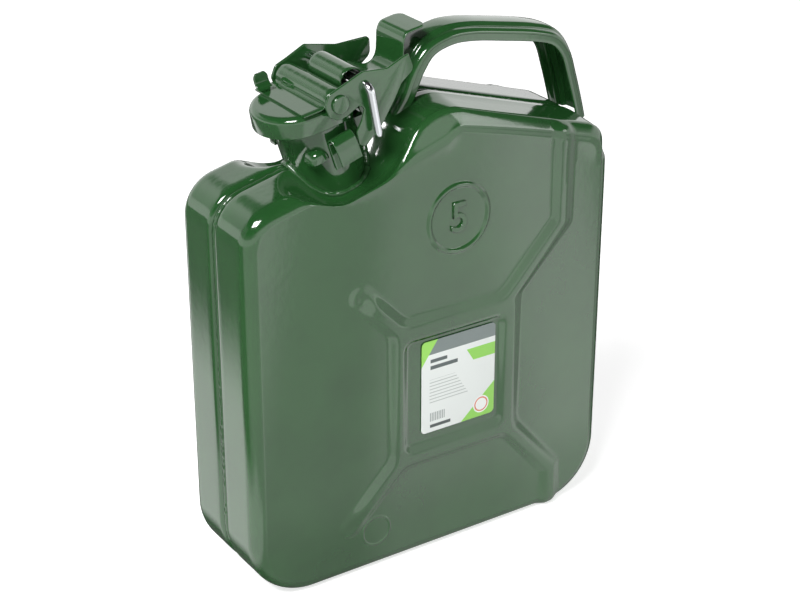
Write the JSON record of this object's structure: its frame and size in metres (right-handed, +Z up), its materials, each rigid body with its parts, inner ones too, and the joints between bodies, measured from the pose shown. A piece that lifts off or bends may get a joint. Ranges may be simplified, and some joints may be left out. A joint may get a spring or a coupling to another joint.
{
  "type": "metal jerry can",
  "caption": "Flat pressed steel fuel can with ribbed faces, a welded middle seam, a strap handle, and a tilted neck closed by a hinged cap with a cam lever and a locking pin.",
  "frame": {"origin": "middle of the base, on the ground plane", "axes": "+Z up, +X from the spout end to the handle's rear foot, +Y across the can from the labelled face to the back face"},
  "size_m": [0.263, 0.084, 0.343],
  "materials": {
    "near_shell": "glossy enamel",
    "far_shell": "glossy enamel",
    "seam_bead": "enamel over the weld",
    "neck_tube": "glossy enamel",
    "near_stop": "glossy enamel",
    "far_stop": "glossy enamel",
    "breather_tube": "enamel",
    "near_catch": "glossy enamel",
    "far_catch": "glossy enamel",
    "hinge_bracket": "glossy enamel",
    "hinge_pin": "zinc plated",
    "handle": "glossy enamel",
    "label": "printed paper, satin",
    "lid_cap": "glossy enamel",
    "gasket": "matt",
    "lid_plate": "glossy enamel",
    "lid_knuckle": "glossy enamel",
    "near_rivet": "glossy enamel",
    "far_rivet": "glossy enamel",
    "cam_lever": "glossy enamel",
    "safety_pin": "bright zinc plated"
  },
  "bodies": {
    "can": {"near_shell": "near_shell", "far_shell": "far_shell", "seam_bead": "seam_bead", "neck_tube": "neck_tube", "near_stop": "near_stop", "far_stop": "far_stop", "breather_tube": "breather_tube", "near_catch": "near_catch", "far_catch": "far_catch", "hinge_bracket": "hinge_bracket", "hinge_pin": "hinge_pin", "handle": "handle", "label": "label"},
    "lid": {"lid_cap": "lid_cap", "gasket": "gasket", "lid_plate": "lid_plate", "lid_knuckle": "lid_knuckle", "near_rivet": "near_rivet", "far_rivet": "far_rivet"},
    "lever": {"cam_lever": "cam_lever"},
    "safety_pin": {"safety_pin": "safety_pin"}
  },
  "joints": [
    {"name": "lid_hinge", "type": "hinge", "parent": "can", "child": "lid", "pos_m": [-0.03246, 0, 0.30052], "axis": [0, 1, 0], "range_deg": [0, 95]},
    {"name": "lever_pivot", "type": "hinge", "parent": "lid", "child": "lever", "pos_m": [-0.0623, 0, 0.3127], "axis": [0, 1, 0], "range_deg": [-115, 0]},
    {"name": "safety_pin_slide", "type": "slide", "parent": "lever", "child": "safety_pin", "axis": [0, -1, 0], "range_m": [0, 0.07]}
  ],
  "couplings": [
    {"joint": "lever_pivot", "follows": "lid_hinge", "ratio": -1.2}
  ]
}
